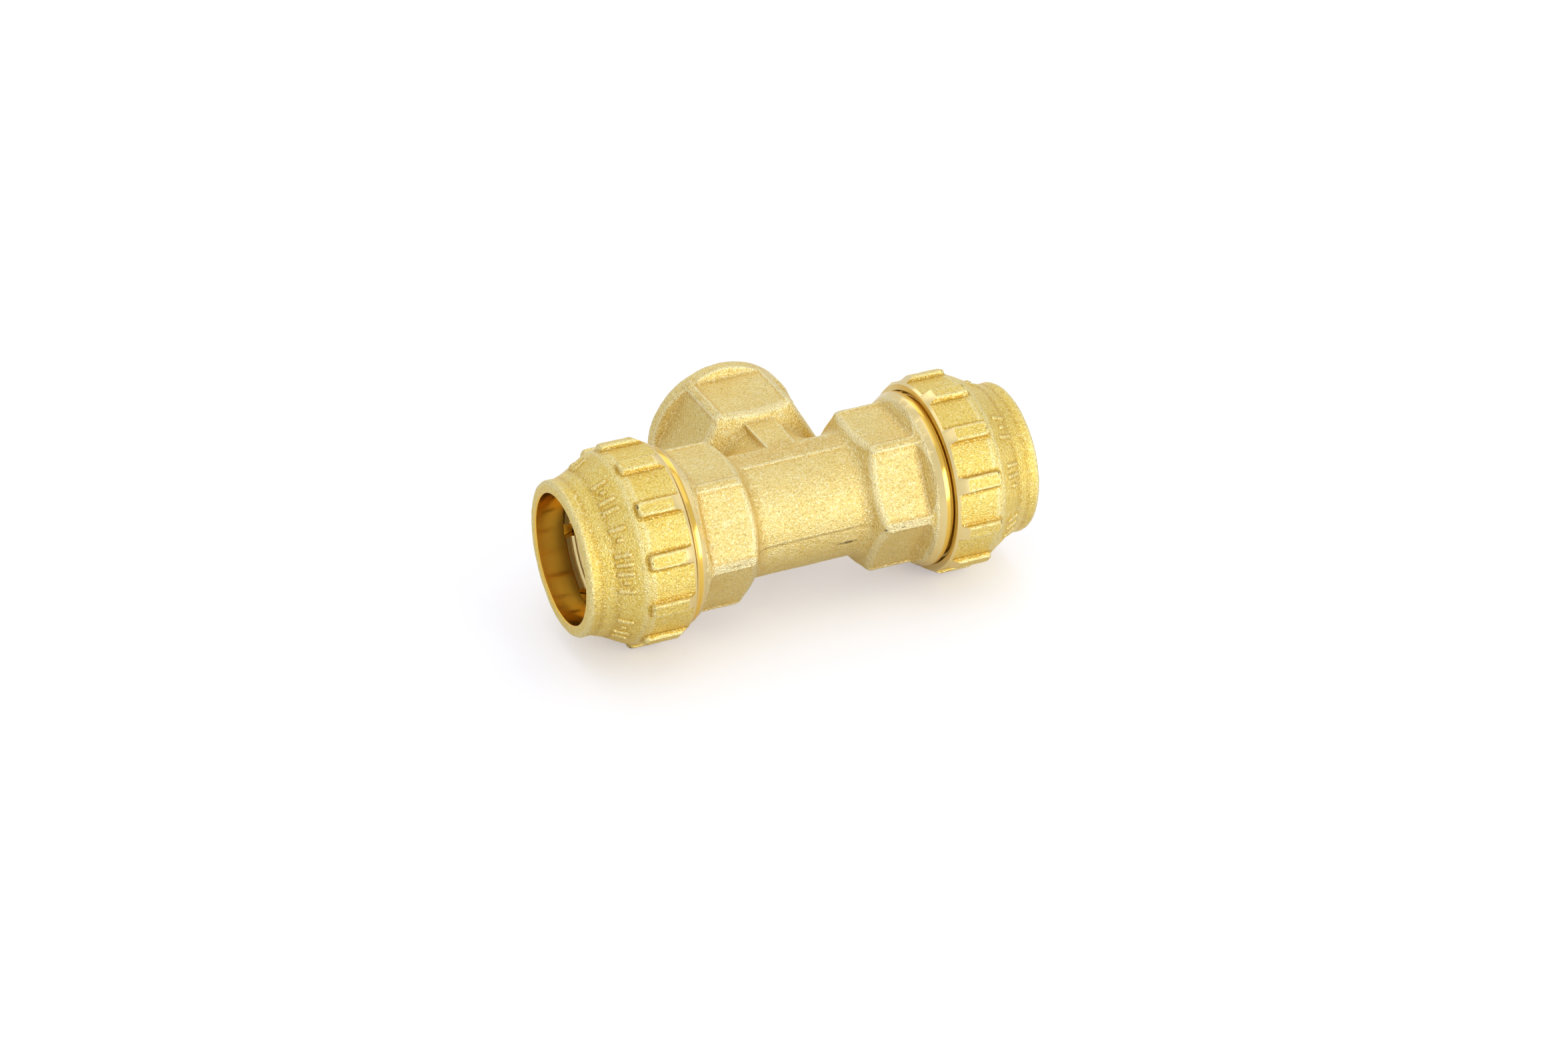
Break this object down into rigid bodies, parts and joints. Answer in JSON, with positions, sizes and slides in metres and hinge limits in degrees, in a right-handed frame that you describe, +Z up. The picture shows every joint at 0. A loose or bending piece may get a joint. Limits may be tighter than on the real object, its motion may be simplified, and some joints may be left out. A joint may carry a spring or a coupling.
{
  "type": "push-in pipe tee",
  "caption": "Forged brass tee for plastic pipe: two push-in ends with split grip rings under ribbed union nuts, and a female threaded branch with wrench flats.",
  "frame": {"origin": "crossing of the run's axis and the branch's axis, in the middle of the waterway", "axes": "+X along the run to the right end, +Y along the branch and out of its mouth, +Z up with the fitting lying flat"},
  "size_m": [0.122, 0.0675, 0.0514],
  "materials": {
    "forged_brass": "shot-blasted forging with turned faces",
    "turned_brass": "turned",
    "seal_rubber": "matte",
    "support_plastic": "turned plastic"
  },
  "bodies": {
    "tee": {"tee_body": "forged_brass", "left_seal": "seal_rubber", "right_seal": "seal_rubber", "left_pressure_ring": "turned_brass", "right_pressure_ring": "turned_brass", "left_support_ring": "support_plastic", "right_support_ring": "support_plastic"},
    "left_ring": {"left_grip_ring": "turned_brass"},
    "left_union": {"left_nut": "forged_brass"},
    "right_ring": {"right_grip_ring": "turned_brass"},
    "right_union": {"right_nut": "forged_brass"}
  },
  "joints": [
    {"name": "left_nut_travel", "type": "slide", "parent": "tee", "child": "left_ring", "axis": [-1, 0, 0], "range_m": [-0.00055, 0.0061]},
    {"name": "left_nut_turn", "type": "hinge", "parent": "left_ring", "child": "left_union", "pos_m": [-0.0482, 0, 0], "axis": [-1, 0, 0], "range_deg": [-90, 1080]},
    {"name": "right_nut_travel", "type": "slide", "parent": "tee", "child": "right_ring", "axis": [1, 0, 0], "range_m": [-0.00055, 0.0061]},
    {"name": "right_nut_turn", "type": "hinge", "parent": "right_ring", "child": "right_union", "pos_m": [0.0482, 0, 0], "axis": [1, 0, 0], "range_deg": [-90, 1080]}
  ],
  "couplings": [
    {"joint": "left_nut_travel", "follows": "left_nut_turn", "m_per_rad": 0.00031831},
    {"joint": "right_nut_travel", "follows": "right_nut_turn", "m_per_rad": 0.00031831}
  ]
}
